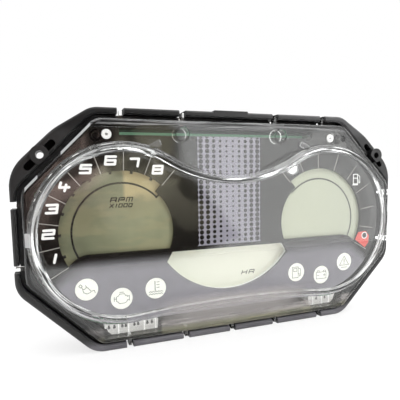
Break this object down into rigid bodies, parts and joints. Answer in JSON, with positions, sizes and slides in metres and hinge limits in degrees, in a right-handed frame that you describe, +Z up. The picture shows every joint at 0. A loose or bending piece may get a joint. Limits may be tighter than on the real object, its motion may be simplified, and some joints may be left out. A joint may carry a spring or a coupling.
{
  "type": "instrument cluster",
  "caption": "Powersport instrument cluster: black tray with two screw ears, clear figure-of-eight lens, twin liquid-crystal dials, centre read-out and round warning lamps.",
  "frame": {"origin": "midway between the two ear screw holes, on the rear seating plane of the ear bosses", "axes": "+X to the reader's right along the width, +Y from the lens towards the back, +Z up"},
  "size_m": [0.274, 0.064, 0.1514],
  "materials": {
    "tray_black": "fine matt grain",
    "lens_clear": "clear, polished",
    "seal_black": "matt",
    "mask_black": "gloss black with silver print",
    "frame_white": "satin white",
    "lcd_glass": "glossy, pale green-grey",
    "lcd_glass_centre": "glossy, near white",
    "diffuser_white": "milky",
    "guide_clear": "clear, milky at the ribs",
    "board_green": "satin solder mask",
    "led_body": "pale with yellow phosphor",
    "steel_screw": "zinc plated",
    "connector_plastic": "matt",
    "pin_metal": "tin plated",
    "seal_silicone": "matt",
    "chip_black": "matt",
    "lead_metal": "tin plated",
    "inductor_grey": "matt ferrite",
    "can_metal": "satin",
    "strip_grey": "matt",
    "resistor_dark": "gloss",
    "vent_grey": "matt"
  },
  "bodies": {
    "root": {"rear_housing": "tray_black", "lens_cover": "lens_clear", "perimeter_seal": "seal_black", "dial_mask": "mask_black", "light_box": "frame_white", "tach_lcd": "lcd_glass", "fuel_lcd": "lcd_glass", "info_lcd": "lcd_glass_centre", "tach_diffuser": "diffuser_white", "fuel_diffuser": "diffuser_white", "info_diffuser": "diffuser_white", "lamp_diffusers": "diffuser_white", "elastomer_strips": "strip_grey", "left_light_guide": "guide_clear", "right_light_guide": "guide_clear", "circuit_board": "board_green", "lamp_leds": "led_body", "backlight_leds": "led_body", "board_screws": "steel_screw", "connector_header": "connector_plastic", "connector_pins": "pin_metal", "connector_gasket": "seal_silicone", "microcontroller": "chip_black", "microcontroller_leads": "lead_metal", "lcd_drivers": "chip_black", "memory_chip": "chip_black", "power_regulator": "chip_black", "power_inductor": "inductor_grey", "filter_capacitors": "can_metal", "clock_crystal": "can_metal", "beeper": "chip_black", "chip_resistors": "resistor_dark", "vent_plug": "vent_grey"}
  },
  "joints": []
}
